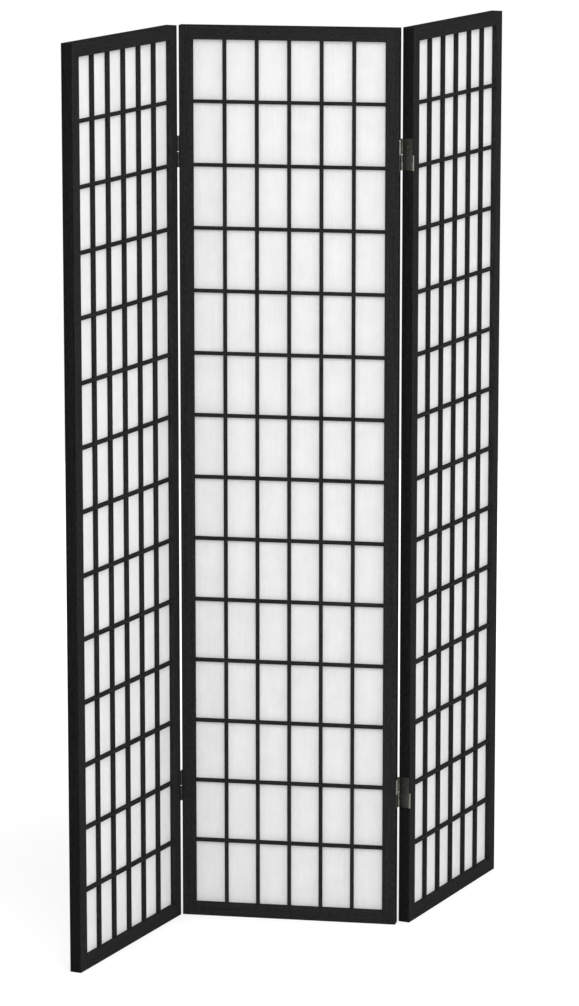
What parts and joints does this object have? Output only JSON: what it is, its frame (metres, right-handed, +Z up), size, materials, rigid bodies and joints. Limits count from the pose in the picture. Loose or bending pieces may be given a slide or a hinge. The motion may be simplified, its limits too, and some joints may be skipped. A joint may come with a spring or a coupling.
{
  "type": "folding shoji screen",
  "caption": "Free-standing folding screen of black-framed shoji panels, each with white paper behind a lattice of half-lapped bars, joined edge to edge by double-action hinges.",
  "frame": {"origin": "middle of the centre panel's foot, on the floor, at half the panel's thickness", "axes": "+Z up, the latticed front faces -Y, +X to the right seen from the front"},
  "size_m": [0.7212, 0.8661, 1.8],
  "materials": {
    "frame_lacquer": "satin black lacquer",
    "lattice_lacquer": "satin black lacquer",
    "washi_paper": "matt fibrous paper",
    "hinge_metal": "antique bronze plating",
    "pin_metal": "plated steel",
    "screw_metal": "plated steel"
  },
  "bodies": {
    "centre": {"centre_bottom_rail": "frame_lacquer", "centre_cross_bars": "lattice_lacquer", "centre_hinge_pins": "pin_metal", "centre_hinge_screws": "screw_metal", "centre_left_stile": "frame_lacquer", "centre_paper": "washi_paper", "centre_right_stile": "frame_lacquer", "centre_top_rail": "frame_lacquer", "centre_upright_bar_1": "lattice_lacquer", "centre_upright_bar_2": "lattice_lacquer", "centre_upright_bar_3": "lattice_lacquer", "centre_upright_bar_4": "lattice_lacquer", "centre_upright_bar_5": "lattice_lacquer", "left_bottom_hinge_centre_leaf": "hinge_metal", "left_bottom_hinge_upper_link": "hinge_metal", "left_top_hinge_centre_leaf": "hinge_metal", "left_top_hinge_upper_link": "hinge_metal", "right_bottom_hinge_centre_leaf": "hinge_metal", "right_bottom_hinge_upper_link": "hinge_metal", "right_top_hinge_centre_leaf": "hinge_metal", "right_top_hinge_upper_link": "hinge_metal"},
    "left": {"left_bottom_hinge_lower_link": "hinge_metal", "left_bottom_hinge_side_leaf": "hinge_metal", "left_bottom_rail": "frame_lacquer", "left_cross_bars": "lattice_lacquer", "left_hinge_pins": "pin_metal", "left_hinge_screws": "screw_metal", "left_left_stile": "frame_lacquer", "left_paper": "washi_paper", "left_right_stile": "frame_lacquer", "left_top_hinge_lower_link": "hinge_metal", "left_top_hinge_side_leaf": "hinge_metal", "left_top_rail": "frame_lacquer", "left_upright_bar_1": "lattice_lacquer", "left_upright_bar_2": "lattice_lacquer", "left_upright_bar_3": "lattice_lacquer", "left_upright_bar_4": "lattice_lacquer", "left_upright_bar_5": "lattice_lacquer"},
    "right": {"right_bottom_hinge_lower_link": "hinge_metal", "right_bottom_hinge_side_leaf": "hinge_metal", "right_bottom_rail": "frame_lacquer", "right_cross_bars": "lattice_lacquer", "right_hinge_pins": "pin_metal", "right_hinge_screws": "screw_metal", "right_left_stile": "frame_lacquer", "right_paper": "washi_paper", "right_right_stile": "frame_lacquer", "right_top_hinge_lower_link": "hinge_metal", "right_top_hinge_side_leaf": "hinge_metal", "right_top_rail": "frame_lacquer", "right_upright_bar_1": "lattice_lacquer", "right_upright_bar_2": "lattice_lacquer", "right_upright_bar_3": "lattice_lacquer", "right_upright_bar_4": "lattice_lacquer", "right_upright_bar_5": "lattice_lacquer"}
  },
  "joints": [
    {"name": "left_fold", "type": "hinge", "parent": "centre", "child": "left", "pos_m": [-0.2195, -0.0123, 0.9], "axis": [0, 0, 1], "range_deg": [-74.7, 105.3]},
    {"name": "right_fold", "type": "hinge", "parent": "centre", "child": "right", "pos_m": [0.2195, 0.0123, 0.9], "axis": [0, 0, 1], "range_deg": [-74, 106]}
  ]
}
